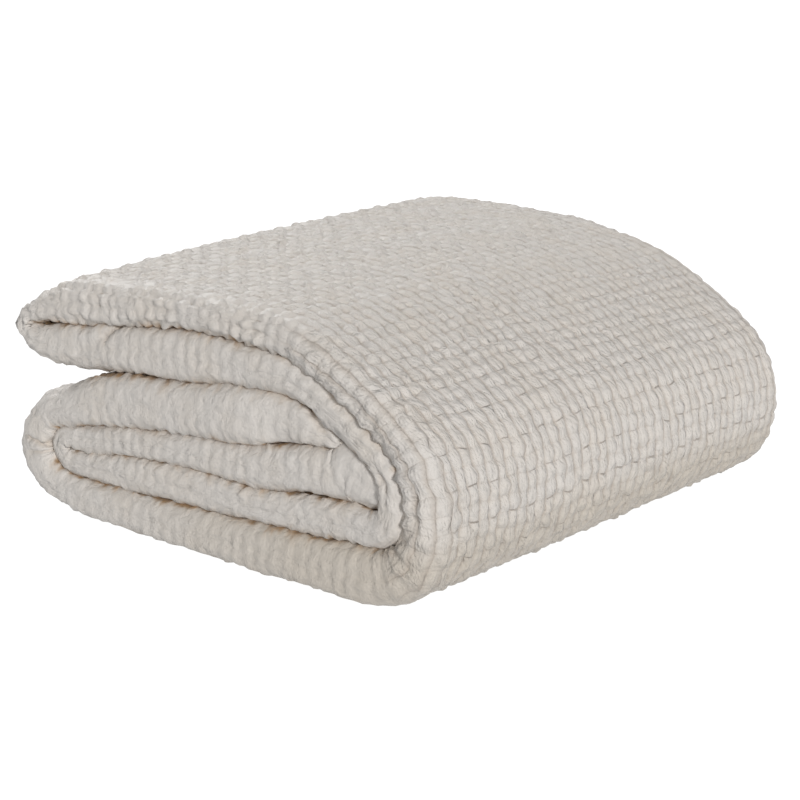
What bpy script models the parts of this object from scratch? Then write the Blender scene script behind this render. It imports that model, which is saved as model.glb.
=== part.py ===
"""A folded bedspread: one thick woven cloth, folded in four across and in six runs along.

Run it with: blender --background --python part.py

The cloth is made flat, at its cut size, as a thin slab. Every point of the slab is then moved
to its place in the pile. Across, the cloth lies in four sheets: its near side is folded twice
and its far side once, so the four sheets form one soft band. Along, the band goes back and
forth in six runs, and the path below follows the middle of that band in side view.

Metres, +Z up. X runs along the pile, from the left folds to the big bend on the right. Y runs
from the near side to the far side. The origin is at the middle of the underside.
"""

import math
from collections import namedtuple

import bmesh
import bpy
import numpy as np

NAME = "folded_bedspread"
MM = 0.001

# The cloth and the pile
CLOTH = 4.0 * MM            # thickness of the woven cloth
DEPTH = 440 * MM            # near side to far side
MIDDLE_X = 227.95 * MM      # the tables below measure X from the left, and the pile is centred
MIDDLE_Y = -3.25 * MM       # its near side swells, which moves its middle a little
RUN_GAP = 1.6 * MM          # between one run and the next
FLAT_REACH = 0.2 * MM       # what comes this close to the surface lies flat on it

# The soft turns of the cloth at the pile's near and far sides
SHEETS = 4
NEAR_SOFTNESS = 2.0 * MM    # how much deeper than a half circle the near turns reach
FAR_SOFTNESS = 1.0 * MM
LOWEST_HEM = 9.0 * MM       # how far the two hems lie inside the far side
LOWER_HEM = 15.0 * MM
USUAL_BAND = 29.0 * MM      # the band's thickness at which the turns have their flat length

# The fineness of the mesh
STEPS = {"lowest": 4, "near_outer": 6, "outer": 4, "far": 3, "upper": 3, "near_inner": 3, "lower": 3}
ROW_STEP = 62 * MM          # longest row on a straight run
ROW_TURN = math.radians(23) # most that the path turns in one row
PATH_STEP = 0.5 * MM

# How thick each run lies, in mm, at four places along the pile, and how far its near edge is
# set back. "open" is the wedge of air between the lower runs and the upper two.
PLACES = (76, 132, 204, 276)
Run = namedtuple("Run", "left mid_left mid_right right set_back")
RUNS = {
    "run_6": Run(29, 30, 33, 37, 0),
    "run_5": Run(20, 27, 29, 25, 6),
    "run_4": Run(22, 24, 28, 34, 7),
    "run_3": Run(33, 40, 39, 43, 0),
    "open": Run(8, 1, 0, 0, 0),
    "run_2": Run(40, 38, 41, 31, 3),
    "run_1": Run(35, 33, 28, 28, 0),
}

# Places on the band's middle line, in mm, where it isn't a straight run
Spot = namedtuple("Spot", "x z band set_back")
FIRST_END = (
    Spot(327, 120, 19, 20),
    Spot(307, 120, 31, 5),
)
BIG_BEND = (
    Spot(338, 19.0, 38, 0),
    Spot(373, 20.4, 40.8, 0),
    Spot(400, 23, 42, 0),
    Spot(420, 33.5, 37, 0),
    Spot(431.5, 53, 33, 0),
    Spot(435, 75, 31, 0),
    Spot(432.5, 96, 30, 0),
    Spot(423.5, 116, 29, 0),
    Spot(405, 134, 27, 0),
    Spot(380, 150.5, 27, 0),
    Spot(347, 168, 27, 0),
    Spot(313, 180, 27, 0),
)
INNER_BEND = (
    Spot(306, 153, 29, 3),
    Spot(330, 147, 23, 4),
    Spot(353, 135, 20.5, 5),
    Spot(378, 121, 19, 5),
    Spot(394, 110, 19, 5),
    Spot(404.5, 96, 19, 5),
    Spot(407, 81, 19, 6),
    Spot(403, 66, 20, 6),
    Spot(391, 57, 22, 6),
    Spot(370, 55.5, 25, 6),
    Spot(338, 53, 27, 6),
)
LAST_END = (
    Spot(338, 88, 35, 7),
    Spot(358, 88.5, 33, 7),
    Spot(383, 86, 23, 16),
)

# The two tight left folds are half rings, seen from the side
Ring = namedtuple("Ring", "x z radius band set_back")
SMALL_FOLD = Ring(60, 48.6, 10.2, 17.6, 6)
TOP_FOLD = Ring(36, 146, 13.2, 20, 0)

# The low left fold wraps around the small one: the band's thickness at angles around the small
# fold's centre, in degrees from +X towards +Z
Wrap = namedtuple("Wrap", "angle band")
LOW_FOLD = (
    Wrap(90, 25),
    Wrap(122, 20.5),
    Wrap(152, 25),
    Wrap(178, 33),
    Wrap(203, 35),
    Wrap(232, 29),
    Wrap(262, 27),
)

# The pile isn't even: its height as a share of the height in the tables above, at five places
# along it, from its near side (depth 0) to its far side (depth 1)
UNEVEN_X = (0, 110, 220, 335, 440)
Level = namedtuple("Level", "depth left mid_left middle mid_right right")
LEVELS = (
    Level(0.00, 1.000, 1.000, 1.000, 1.000, 1.000),
    Level(0.30, 1.035, 1.020, 1.010, 0.995, 0.990),
    Level(0.70, 1.050, 1.030, 1.005, 0.965, 0.955),
    Level(1.00, 1.045, 1.020, 0.985, 0.930, 0.920),
)
NEAR_BULGE = 5.0 * MM       # the near side swells a little halfway along
FAR_PULL = 7.0 * MM         # and the big bend draws in towards the far side

CREAM = (0.61, 0.58, 0.53, 1.0)
CLOTH_ROUGHNESS = 0.9


def clear_objects():
    """Start from an empty scene."""
    for thing in list(bpy.data.objects):
        bpy.data.objects.remove(thing, do_unlink=True)


def smooth_curve(knots, values, places):
    """Read a smooth curve through the values at the knots at the given places."""
    knots = np.asarray(knots, float)
    values = np.asarray(values, float)
    gaps = np.diff(knots)
    rises = np.diff(values) / gaps
    slopes = np.empty_like(values)
    slopes[1:-1] = (rises[:-1] * gaps[1:] + rises[1:] * gaps[:-1]) / (gaps[:-1] + gaps[1:])
    slopes[0] = rises[0]
    slopes[-1] = rises[-1]
    index = np.clip(np.searchsorted(knots, places, side="right") - 1, 0, len(gaps) - 1)
    gap = gaps[index]
    t = (places - knots[index]) / gap
    return ((1 + 2 * t) * (1 - t) ** 2 * values[index]
            + t * (1 - t) ** 2 * gap * slopes[index]
            + t * t * (3 - 2 * t) * values[index + 1]
            + t * t * (t - 1) * gap * slopes[index + 1])


def run_spots(name):
    """The middle line of one run, from left to right."""
    below = list(RUNS)[:list(RUNS).index(name)]
    spots = []
    for column, x in enumerate(PLACES):
        under = sum(RUNS[lower][column] for lower in below)
        thick = RUNS[name][column]
        band = thick - RUN_GAP / MM
        spots.append(Spot(x, under + band / 2, band, RUNS[name].set_back))
    return spots


def ring_spots(ring, first, last, steps=4):
    """A tight fold: spots on part of a ring, between two angles in degrees."""
    spots = []
    for step in range(steps + 1):
        angle = math.radians(first + (last - first) * step / steps)
        spots.append(Spot(ring.x + ring.radius * math.cos(angle),
                          ring.z + ring.radius * math.sin(angle), ring.band, ring.set_back))
    return spots


def low_fold_spots():
    """The low left fold, which lies around the small fold with a little air between them."""
    inside = SMALL_FOLD.radius + SMALL_FOLD.band / 2 + RUN_GAP / MM
    spots = []
    for wrap in LOW_FOLD:
        reach = inside + wrap.band / 2
        angle = math.radians(wrap.angle)
        spots.append(Spot(SMALL_FOLD.x + reach * math.cos(angle),
                          SMALL_FOLD.z + reach * math.sin(angle), wrap.band, 0))
    return spots


def band_spots():
    """The whole way of the band in side view, from its first end to its last."""
    spots = list(FIRST_END)
    spots += reversed(run_spots("run_3"))
    spots += low_fold_spots()
    spots += run_spots("run_6")
    spots += BIG_BEND
    spots += reversed(run_spots("run_1"))
    spots += ring_spots(TOP_FOLD, 90, 270)
    spots += run_spots("run_2")
    spots += INNER_BEND
    spots += reversed(run_spots("run_5"))
    spots += ring_spots(SMALL_FOLD, 270, 90)
    spots += run_spots("run_4")
    spots += LAST_END
    return np.array(spots) * MM


def measure_path():
    """Read the way of the band in small even steps."""
    spots = band_spots()
    chords = np.hypot(np.diff(spots[:, 0]), np.diff(spots[:, 1]))
    knots = np.concatenate(([0.0], np.cumsum(chords)))
    places = np.linspace(0.0, knots[-1], int(knots[-1] / PATH_STEP))
    x, z, band, set_back = (smooth_curve(knots, spots[:, column], places) for column in range(4))
    along = np.concatenate(([0.0], np.cumsum(np.hypot(np.diff(x), np.diff(z)))))
    heading = np.unwrap(np.arctan2(np.gradient(z), np.gradient(x)))
    return {"along": along, "x": x, "z": z, "band": band, "set_back": set_back, "heading": heading}


PATH = measure_path()
CLOTH_LENGTH = PATH["along"][-1]


def sheet_pitch(band):
    """The distance between the middles of two neighbouring sheets of the band."""
    return (band - CLOTH) / (SHEETS - 1)


def side_places(band):
    """Where the near and far turns have their centres, and how deep they reach."""
    pitch = sheet_pitch(band)
    near_reach = 1.5 * pitch + NEAR_SOFTNESS
    far_reach = 0.5 * pitch + FAR_SOFTNESS
    near = -DEPTH / 2 + CLOTH / 2 + near_reach
    far = DEPTH / 2 - CLOTH / 2 - far_reach
    return pitch, near, near_reach, far, far_reach


def across_lengths():
    """The flat length of each piece of the cloth across, from its first hem to its second."""
    pitch, near, _, far, _ = side_places(USUAL_BAND)
    return {
        "lowest": DEPTH / 2 - LOWEST_HEM - near,
        "near_outer": math.pi * 1.5 * pitch,
        "outer": far - near,
        "far": math.pi * 0.5 * pitch,
        "upper": far - near,
        "near_inner": math.pi * 0.5 * pitch,
        "lower": DEPTH / 2 - LOWER_HEM - near,
    }


ACROSS = across_lengths()
CLOTH_WIDTH = sum(ACROSS.values())


def half_turn(share, centre, reach):
    """A half turn of the cloth in the band's cross-section: its points and its heading."""
    angle = share * math.pi
    y = centre[0] + reach[0] * np.sin(angle)
    n = centre[1] + reach[1] * np.cos(angle)
    return y, n, reach[0] * np.cos(angle), -reach[1] * np.sin(angle)


def straight(share, first, last, level):
    """A flat sheet of the cloth in the band's cross-section, and its heading."""
    return first + (last - first) * share, level, last - first, 0.0


def band_section(u, band):
    """Where the cloth's points u lie in the band's cross-section.

    y counts from near to far and n across the band. The last two values are the direction that
    the cloth's outer face looks in, a quarter turn from the cloth's own heading.
    """
    pitch, near, near_reach, far, far_reach = side_places(band)
    inner_reach = 0.5 * pitch + NEAR_SOFTNESS
    starts = dict(zip(ACROSS, np.concatenate(([0.0], np.cumsum(list(ACROSS.values()))))))
    share = {name: np.clip((u - starts[name]) / ACROSS[name], 0.0, 1.0) for name in ACROSS}
    pieces = {
        "lowest": straight(share["lowest"], DEPTH / 2 - LOWEST_HEM, near, -1.5 * pitch),
        "near_outer": half_turn(share["near_outer"], (near, 0.0), (-near_reach, -1.5 * pitch)),
        "outer": straight(share["outer"], near, far, 1.5 * pitch),
        "far": half_turn(share["far"], (far, pitch), (far_reach, 0.5 * pitch)),
        "upper": straight(share["upper"], far, near, 0.5 * pitch),
        "near_inner": half_turn(share["near_inner"], (near, 0.0), (-inner_reach, 0.5 * pitch)),
        "lower": straight(share["lower"], near, DEPTH / 2 - LOWER_HEM, -0.5 * pitch),
    }
    section = np.zeros((4, len(u)))
    for name, piece in pieces.items():
        here = u >= starts[name] - 1e-6
        for row, value in zip(section, piece):
            row[here] = np.broadcast_to(value, u.shape)[here]
    y, n, heading_y, heading_n = section
    size = np.hypot(heading_y, heading_n)
    return y, n, -heading_n / size, heading_y / size


def level_share(x, y):
    """How high the pile stands at x and y, as a share of the height in the tables."""
    depths = [level.depth for level in LEVELS]
    depth = np.clip(y / DEPTH + 0.5, 0.0, 1.0)
    columns = [smooth_curve(depths, [level[column] for level in LEVELS], depth)
               for column in range(1, len(UNEVEN_X) + 1)]
    marks = np.array(UNEVEN_X) * MM
    x = np.clip(x, marks[0], marks[-1])
    index = np.clip(np.searchsorted(marks, x, side="right") - 1, 0, len(marks) - 2)
    t = (x - marks[index]) / (marks[index + 1] - marks[index])
    t = t * t * (3 - 2 * t)
    columns = np.array(columns)
    every = np.arange(len(x))
    return columns[index, every] * (1 - t) + columns[index + 1, every] * t


def fold(u, v, h):
    """Move points of the flat cloth to their places in the pile.

    u counts across the cloth, v along it, and h from its middle to its outer face.
    """
    x, z, band, set_back, heading = (np.interp(v, PATH["along"], PATH[column])
                                     for column in ("x", "z", "band", "set_back", "heading"))
    y, n, out_y, out_n = band_section(u, band)
    y = y + h * out_y
    n = n + h * out_n
    x = x + n * np.sin(heading)
    z = (z - n * np.cos(heading)) * level_share(x, y)
    depth = np.clip(y / DEPTH + 0.5, 0.0, 1.0)
    share = np.clip(x / (2 * MIDDLE_X), 0.0, 1.0)
    y = y + (set_back - NEAR_BULGE * np.sin(math.pi * share)) * (1 - depth) ** 2
    x = x - FAR_PULL * share ** 2 * depth ** 2
    z = np.where(z < FLAT_REACH, 0.0, z)
    return x - MIDDLE_X, y - MIDDLE_Y, z


def column_places():
    """The places across the cloth where the mesh has its columns."""
    places = [0.0]
    for name, length in ACROSS.items():
        start = places[-1]
        places += [start + length * step / STEPS[name] for step in range(1, STEPS[name] + 1)]
    return np.array(places)


def row_places():
    """The places along the cloth where the mesh has its rows, closer together in the folds."""
    length = np.diff(PATH["along"])
    turn = np.abs(np.diff(PATH["heading"]))
    need = np.concatenate(([0.0], np.cumsum(length / ROW_STEP + turn / ROW_TURN)))
    rows = int(math.ceil(need[-1]))
    return np.interp(np.linspace(0.0, need[-1], rows + 1), need, PATH["along"])


def flat_cloth():
    """The cloth laid flat: a thin closed slab with its columns and rows at the folds."""
    columns = column_places()
    rows = row_places()
    slab = bmesh.new()
    bmesh.ops.create_grid(slab, x_segments=len(columns) - 1, y_segments=len(rows) - 1, size=0.5)
    for point in slab.verts:
        point.co.x = columns[round((point.co.x + 0.5) * (len(columns) - 1))]
        point.co.y = rows[round((point.co.y + 0.5) * (len(rows) - 1))]
    bmesh.ops.solidify(slab, geom=slab.faces[:], thickness=CLOTH)
    bmesh.ops.triangulate(slab, faces=slab.faces[:])
    mesh = bpy.data.meshes.new(NAME)
    slab.to_mesh(mesh)
    slab.free()
    return mesh


def fold_cloth(mesh):
    """Fold the flat cloth into the pile, and turn its faces outwards."""
    flat = np.empty(len(mesh.vertices) * 3)
    mesh.vertices.foreach_get("co", flat)
    flat = flat.reshape(-1, 3).T
    height = flat[2] - (flat[2].min() + flat[2].max()) / 2
    folded = np.array(fold(flat[0], flat[1], height))
    mesh.vertices.foreach_set("co", folded.T.ravel())
    whole = bmesh.new()
    whole.from_mesh(mesh)
    bmesh.ops.recalc_face_normals(whole, faces=whole.faces[:])
    whole.to_mesh(mesh)
    whole.free()
    mesh.shade_smooth()
    mesh.update()


def cloth_material():
    """Plain cream cotton."""
    material = bpy.data.materials.new("cream_cotton")
    material.use_nodes = True
    shader = material.node_tree.nodes["Principled BSDF"]
    shader.inputs["Base Color"].default_value = CREAM
    shader.inputs["Roughness"].default_value = CLOTH_ROUGHNESS
    shader.inputs["Metallic"].default_value = 0.0
    return material


def build():
    """Make the folded bedspread in a collection of its own."""
    clear_objects()
    collection = bpy.data.collections.new(NAME)
    bpy.context.scene.collection.children.link(collection)
    mesh = flat_cloth()
    fold_cloth(mesh)
    cloth = bpy.data.objects.new("woven_cloth", mesh)
    cloth.data.materials.append(cloth_material())
    collection.objects.link(cloth)
    print("cloth cut %.3f m across, %.3f m along" % (CLOTH_WIDTH, CLOTH_LENGTH))
    print("triangles", len(mesh.polygons))


build()
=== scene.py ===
# %% [markdown]
# # A folded bedspread
# A maker weaves one wide cotton panel, turns its hem and folds it: in four across, then in six
# runs along. Nothing else is sewn on, so the whole pile is one sheet of cloth.
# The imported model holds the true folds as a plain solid. This script keeps them and makes what
# the eye sees: the puffed weave, the soft noses of the folds, their creases and their colour.

# %% Load the frame
import math
from collections import namedtuple

import bmesh
import bpy
import numpy as np
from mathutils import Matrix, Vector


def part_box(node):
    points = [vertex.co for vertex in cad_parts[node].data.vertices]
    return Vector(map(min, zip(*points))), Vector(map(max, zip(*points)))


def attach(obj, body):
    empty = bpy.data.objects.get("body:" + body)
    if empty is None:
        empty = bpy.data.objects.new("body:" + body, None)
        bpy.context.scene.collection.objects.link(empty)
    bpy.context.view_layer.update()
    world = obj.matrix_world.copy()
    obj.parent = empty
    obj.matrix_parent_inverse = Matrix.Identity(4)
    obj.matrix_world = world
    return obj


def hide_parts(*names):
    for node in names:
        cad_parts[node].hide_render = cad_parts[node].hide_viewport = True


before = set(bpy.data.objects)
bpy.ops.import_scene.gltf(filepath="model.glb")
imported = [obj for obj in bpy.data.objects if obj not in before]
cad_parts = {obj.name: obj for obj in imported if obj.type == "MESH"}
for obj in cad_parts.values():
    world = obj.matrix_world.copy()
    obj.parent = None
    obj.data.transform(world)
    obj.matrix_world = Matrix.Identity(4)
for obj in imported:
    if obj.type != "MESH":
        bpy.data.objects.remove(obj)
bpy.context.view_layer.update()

MM = 0.001
box_low, box_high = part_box("woven_cloth")
box_sizes = [round((high - low) / MM, 1) for low, high in zip(box_low, box_high)]
print("the folded cloth measures", box_sizes, "mm")

# %% [markdown]
# ## The camera
# A pile like this is often shown from one corner and a little above, with a long lens, so that
# its sides stay nearly parallel. The camera could be aimed with a constraint, but a place and
# two angles are enough here, and they keep the frame steady when other things are added.

# %% The camera
AZIMUTH = math.radians(41.5)
ELEVATION = math.radians(16)
CAMERA_PLACE = (1.129, -1.2765, 0.563)
LENS = 99
SENSOR = 36


def make_camera():
    """A long lens that looks at the corner between the near side and the big bend."""
    camera = bpy.data.objects.new("camera", bpy.data.cameras.new("camera"))
    bpy.context.scene.collection.objects.link(camera)
    camera.location = CAMERA_PLACE
    camera.rotation_euler = (math.pi / 2 - ELEVATION, 0, AZIMUTH)
    camera.data.lens = LENS
    camera.data.sensor_width = SENSOR
    bpy.context.scene.camera = camera
    return camera


camera = make_camera()
print("the camera stands %.2f m from the pile" % camera.location.length)

# %% [markdown]
# ## The folds
# Seen from the side, the folded cloth is one thick band that goes back and forth six times. It
# could be draped by a cloth simulation, but a chosen stack of folds wouldn't come out of one.
# So the band's middle line is written down as the runs and bends that a ruler would find on the
# pile, in millimetres from its left end and from the table. A smooth curve is read through them.

# %% Sizes of the cloth and the pile
CLOTH = 4.0 * MM
DEPTH = 440 * MM
MIDDLE_X = 227.95 * MM
MIDDLE_Y = -3.25 * MM
RUN_GAP = 1.6 * MM
FLAT_REACH = 0.2 * MM
SHEETS = 4
NEAR_SOFTNESS = 2.0 * MM
FAR_SOFTNESS = 1.0 * MM
LOWEST_HEM = 9.0 * MM
LOWER_HEM = 15.0 * MM
USUAL_BAND = 29.0 * MM
PATH_STEP = 0.5 * MM

# %% How thick each run lies
# In mm at four places along the pile, then how far its near edge is set back
PLACES = (76, 132, 204, 276)
Run = namedtuple("Run", "left mid_left mid_right right set_back")
RUNS = {
    "run_6": Run(29, 30, 33, 37, 0),
    "run_5": Run(20, 27, 29, 25, 6),
    "run_4": Run(22, 24, 28, 34, 7),
    "run_3": Run(33, 40, 39, 43, 0),
    "open": Run(11, 3, 0, 0, 0),
    "run_2": Run(37, 36, 41, 31, 3),
    "run_1": Run(35, 33, 28, 28, 0),
}

# %% The ends and the bends on the right
Spot = namedtuple("Spot", "x z band set_back")
FIRST_END = (
    Spot(355, 112.5, 10, 9),
    Spot(346, 115.5, 17, 7),
    Spot(334, 118.5, 25, 5),
    Spot(307, 120.5, 32, 5),
)
BIG_BEND = (
    Spot(338, 19.0, 38, 0),
    Spot(373, 20.4, 40.8, 0),
    Spot(400, 23, 42, 0),
    Spot(420, 33.5, 37, 0),
    Spot(431.5, 53, 33, 0),
    Spot(435, 75, 31, 0),
    Spot(432.5, 96, 30, 0),
    Spot(423.5, 116, 29, 0),
    Spot(405, 134, 27, 0),
    Spot(380, 150.5, 27, 0),
    Spot(347, 168, 27, 0),
    Spot(313, 180, 27, 0),
)
INNER_BEND = (
    Spot(306, 153, 29, 3),
    Spot(330, 147, 23, 3),
    Spot(353, 135, 20.5, 2.5),
    Spot(378, 121, 19, 2),
    Spot(394, 110, 19, 2),
    Spot(404.5, 96, 19.5, 2),
    Spot(407, 81, 20, 2.5),
    Spot(404, 64.5, 23, 3),
    Spot(391, 56, 24, 4),
    Spot(370, 55.5, 25.5, 5),
    Spot(338, 53, 27, 6),
)
LAST_END = (
    Spot(338, 87.8, 35.5, 7),
    Spot(352, 88.5, 38, 7),
    Spot(364, 92, 46, 7),
    Spot(379, 88.7, 39, 7),
    Spot(395.5, 84.2, 27, 8),
)

# %% The folds on the left
# The small fold is an even ring, with angles from +X towards +Z. The low fold wraps around it,
# and the top fold around a narrow hollow, both with a band that swells and thins
Ring = namedtuple("Ring", "x z radius band set_back")
SMALL_FOLD = Ring(67, 48.6, 10.2, 17.6, 6)
Wrap = namedtuple("Wrap", "angle band")
TOP_HOLLOW = Ring(31, 144.8, 1.4, 0, 0)
TOP_FOLD = (
    Wrap(90, 16.5),
    Wrap(135, 14.5),
    Wrap(180, 16.5),
    Wrap(225, 18),
    Wrap(270, 19.5),
)
LOW_FOLD = (
    Wrap(90, 28.5),
    Wrap(122, 29),
    Wrap(152, 30.5),
    Wrap(178, 40),
    Wrap(203, 41),
    Wrap(232, 32),
    Wrap(262, 27),
)

# %% How uneven the pile is
# Its height as a share of the tables' height, from the near side (depth 0) to the far side
UNEVEN_X = (0, 110, 220, 335, 440)
Level = namedtuple("Level", "depth left mid_left middle mid_right right")
LEVELS = (
    Level(0.00, 1.000, 1.000, 1.000, 1.000, 1.000),
    Level(0.30, 1.035, 1.020, 1.010, 0.995, 0.990),
    Level(0.70, 1.050, 1.030, 1.005, 0.965, 0.955),
    Level(1.00, 1.045, 1.020, 0.985, 0.930, 0.920),
)
NEAR_BULGE = 5.0 * MM
FAR_PULL = 7.0 * MM


# %% Soft steps and smooth curves
def ease(share):
    """A share from 0 to 1, with a soft start and a soft end. It works on sockets too."""
    return share * share * (3 - 2 * share)


def smooth_curve(knots, values, places):
    """Read a smooth curve through the values at the knots at the given places."""
    knots = np.asarray(knots, float)
    values = np.asarray(values, float)
    gaps = np.diff(knots)
    rises = np.diff(values) / gaps
    slopes = np.empty_like(values)
    slopes[1:-1] = (rises[:-1] * gaps[1:] + rises[1:] * gaps[:-1]) / (gaps[:-1] + gaps[1:])
    slopes[0] = rises[0]
    slopes[-1] = rises[-1]
    index = np.clip(np.searchsorted(knots, places, side="right") - 1, 0, len(gaps) - 1)
    gap = gaps[index]
    t = (places - knots[index]) / gap
    return ((1 + 2 * t) * (1 - t) ** 2 * values[index]
            + t * (1 - t) ** 2 * gap * slopes[index]
            + t * t * (3 - 2 * t) * values[index + 1]
            + t * t * (t - 1) * gap * slopes[index + 1])


# %% The middle line of the band
def run_spots(name):
    """The middle line of one run, from left to right."""
    below = list(RUNS)[:list(RUNS).index(name)]
    spots = []
    for column, x in enumerate(PLACES):
        under = sum(RUNS[lower][column] for lower in below)
        band = RUNS[name][column] - RUN_GAP / MM
        spots.append(Spot(x, under + band / 2, band, RUNS[name].set_back))
    return spots


def ring_spots(ring, first, last, steps=4):
    """A tight fold: spots on part of a ring, between two angles in degrees."""
    spots = []
    for step in range(steps + 1):
        angle = math.radians(first + (last - first) * step / steps)
        spots.append(Spot(ring.x + ring.radius * math.cos(angle),
                          ring.z + ring.radius * math.sin(angle), ring.band, ring.set_back))
    return spots


def wrap_spots(ring, air, wraps):
    """A fold that wraps around a ring with some air between, where its band swells and thins."""
    inside = ring.radius + ring.band / 2 + air
    spots = []
    for wrap in wraps:
        reach = inside + wrap.band / 2
        angle = math.radians(wrap.angle)
        spots.append(Spot(ring.x + reach * math.cos(angle), ring.z + reach * math.sin(angle),
                          wrap.band, 0))
    return spots


# %% The whole way of the band, with the length at which each stretch starts
STRETCHES = {
    "first_end": FIRST_END,
    "run_3": run_spots("run_3")[::-1],
    "low_fold": wrap_spots(SMALL_FOLD, RUN_GAP / MM, LOW_FOLD),
    "run_6": run_spots("run_6"),
    "big_bend": BIG_BEND,
    "run_1": run_spots("run_1")[::-1],
    "top_fold": wrap_spots(TOP_HOLLOW, 0, TOP_FOLD),
    "run_2": run_spots("run_2"),
    "inner_bend": INNER_BEND,
    "run_5": run_spots("run_5")[::-1],
    "small_fold": ring_spots(SMALL_FOLD, 270, 90),
    "run_4": run_spots("run_4"),
    "last_end": LAST_END,
}


def measure_path():
    """Read the way of the band in small even steps, and where each stretch starts."""
    spots = np.array([spot for stretch in STRETCHES.values() for spot in stretch]) * MM
    chords = np.hypot(np.diff(spots[:, 0]), np.diff(spots[:, 1]))
    knots = np.concatenate(([0.0], np.cumsum(chords)))
    places = np.linspace(0.0, knots[-1], int(knots[-1] / PATH_STEP))
    x, z, band, set_back = (smooth_curve(knots, spots[:, column], places) for column in range(4))
    along = np.concatenate(([0.0], np.cumsum(np.hypot(np.diff(x), np.diff(z)))))
    heading = np.unwrap(np.arctan2(np.gradient(z), np.gradient(x)))
    firsts = np.cumsum([0] + [len(stretch) for stretch in STRETCHES.values()])[:-1]
    starts = dict(zip(STRETCHES, np.interp(knots[firsts], places, along)))
    path = {"along": along, "x": x, "z": z, "band": band, "set_back": set_back, "heading": heading}
    return path, starts


PATH, STARTS = measure_path()
LENGTH = PATH["along"][-1]
print("the cloth is %.3f m long" % LENGTH)
print({name: round(start / MM) for name, start in STARTS.items()})


# %% [markdown]
# ## Across the band
# Before it was folded lengthways, the cloth was folded in four across: a wide soft turn on the
# near side with a tighter one inside it, and one turn on the far side. Every run shows the wide
# turn as its rounded near edge. The cross-section is therefore seven plain pieces, flat sheets
# and half turns, and any place on the cloth is found from its distance across and along.

# %% The cross-section of the band
def side_places(band):
    """Where the near and far turns have their centres, and how deep they reach."""
    pitch = (band - CLOTH) / (SHEETS - 1)
    near_reach = 1.5 * pitch + NEAR_SOFTNESS
    far_reach = 0.5 * pitch + FAR_SOFTNESS
    near = -DEPTH / 2 + CLOTH / 2 + near_reach
    far = DEPTH / 2 - CLOTH / 2 - far_reach
    return pitch, near, near_reach, far, far_reach


def across_lengths():
    """The flat length of each piece of the cloth across, from its first hem to its second."""
    pitch, near, _, far, _ = side_places(USUAL_BAND)
    return {
        "lowest": DEPTH / 2 - LOWEST_HEM - near,
        "near_outer": math.pi * 1.5 * pitch,
        "outer": far - near,
        "far": math.pi * 0.5 * pitch,
        "upper": far - near,
        "near_inner": math.pi * 0.5 * pitch,
        "lower": DEPTH / 2 - LOWER_HEM - near,
    }


ACROSS = across_lengths()
WIDTH = sum(ACROSS.values())
ENDS = np.cumsum([0.0] + list(ACROSS.values()))
BEGINS = dict(zip(ACROSS, ENDS))
print("the cloth is %.3f m wide" % WIDTH)


# %% Where the outer side of the band lies open
OPEN_SIDES = (
    (STARTS["run_3"] + 185 * MM, STARTS["run_6"]),
    (STARTS["big_bend"] + 50 * MM, STARTS["run_2"] + 45 * MM),
)
OPEN_FADE = 11 * MM


def soft_step(value, low, high):
    """0 below low, 1 above high, and a soft step between them, for arrays."""
    return ease(np.clip((value - low) / (high - low), 0.0, 1.0))


def open_share(v):
    """1 where the outer side shows, 0 where it is pressed against the next run."""
    return sum(soft_step(v, first - OPEN_FADE, first + OPEN_FADE)
               * (1 - soft_step(v, last - OPEN_FADE, last + OPEN_FADE))
               for first, last in OPEN_SIDES)


# %% The shape of the near turn
# Packed folds press each other flat, so their near edges are squarer than a round tube.
# A power of 1 gives a half circle, and a smaller one squarer corners
ROUND_POWER = 0.90
PRESSED_POWER = 0.50
TURN_STEPS = 1200


def turn_shape(power):
    """Half of a squared circle of size 1: shares of its length, and the places there."""
    angle = np.linspace(0.0, math.pi, TURN_STEPS + 1)
    y = np.sin(angle).clip(0.0) ** power
    n = np.sign(np.cos(angle)) * np.abs(np.cos(angle)) ** power
    length = np.concatenate(([0.0], np.cumsum(np.hypot(np.diff(y), np.diff(n)))))
    return length / length[-1], y, n


ROUND_TURN = turn_shape(ROUND_POWER)
PRESSED_TURN = turn_shape(PRESSED_POWER)


# %% The pieces of the cross-section
def near_turn(share, centre, reach, pressed):
    """The near turn in the band's cross-section, squarer where pressed: points and heading."""
    step = 2.0 / TURN_STEPS
    places = []
    for s in (share, np.clip(share - step, 0.0, 1.0), np.clip(share + step, 0.0, 1.0)):
        for line in (1, 2):
            round_one = np.interp(s, ROUND_TURN[0], ROUND_TURN[line])
            pressed_one = np.interp(s, PRESSED_TURN[0], PRESSED_TURN[line])
            places.append(round_one * (1 - pressed) + pressed_one * pressed)
    y, n, early_y, early_n, late_y, late_n = places
    return (centre[0] + reach[0] * y, centre[1] + reach[1] * n,
            reach[0] * (late_y - early_y), reach[1] * (late_n - early_n))


def half_turn(share, centre, reach):
    """A half turn of the cloth in the band's cross-section: its points and its heading."""
    angle = share * math.pi
    y = centre[0] + reach[0] * np.sin(angle)
    n = centre[1] + reach[1] * np.cos(angle)
    return y, n, reach[0] * np.cos(angle), -reach[1] * np.sin(angle)


def straight(share, first, last, level):
    """A flat sheet of the cloth in the band's cross-section, and its heading."""
    return first + (last - first) * share, level, last - first, 0.0


SWELL = 0.75 * MM
SWELL_PLACE = 4 * MM
SWELL_WIDTH = 11 * MM


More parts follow.
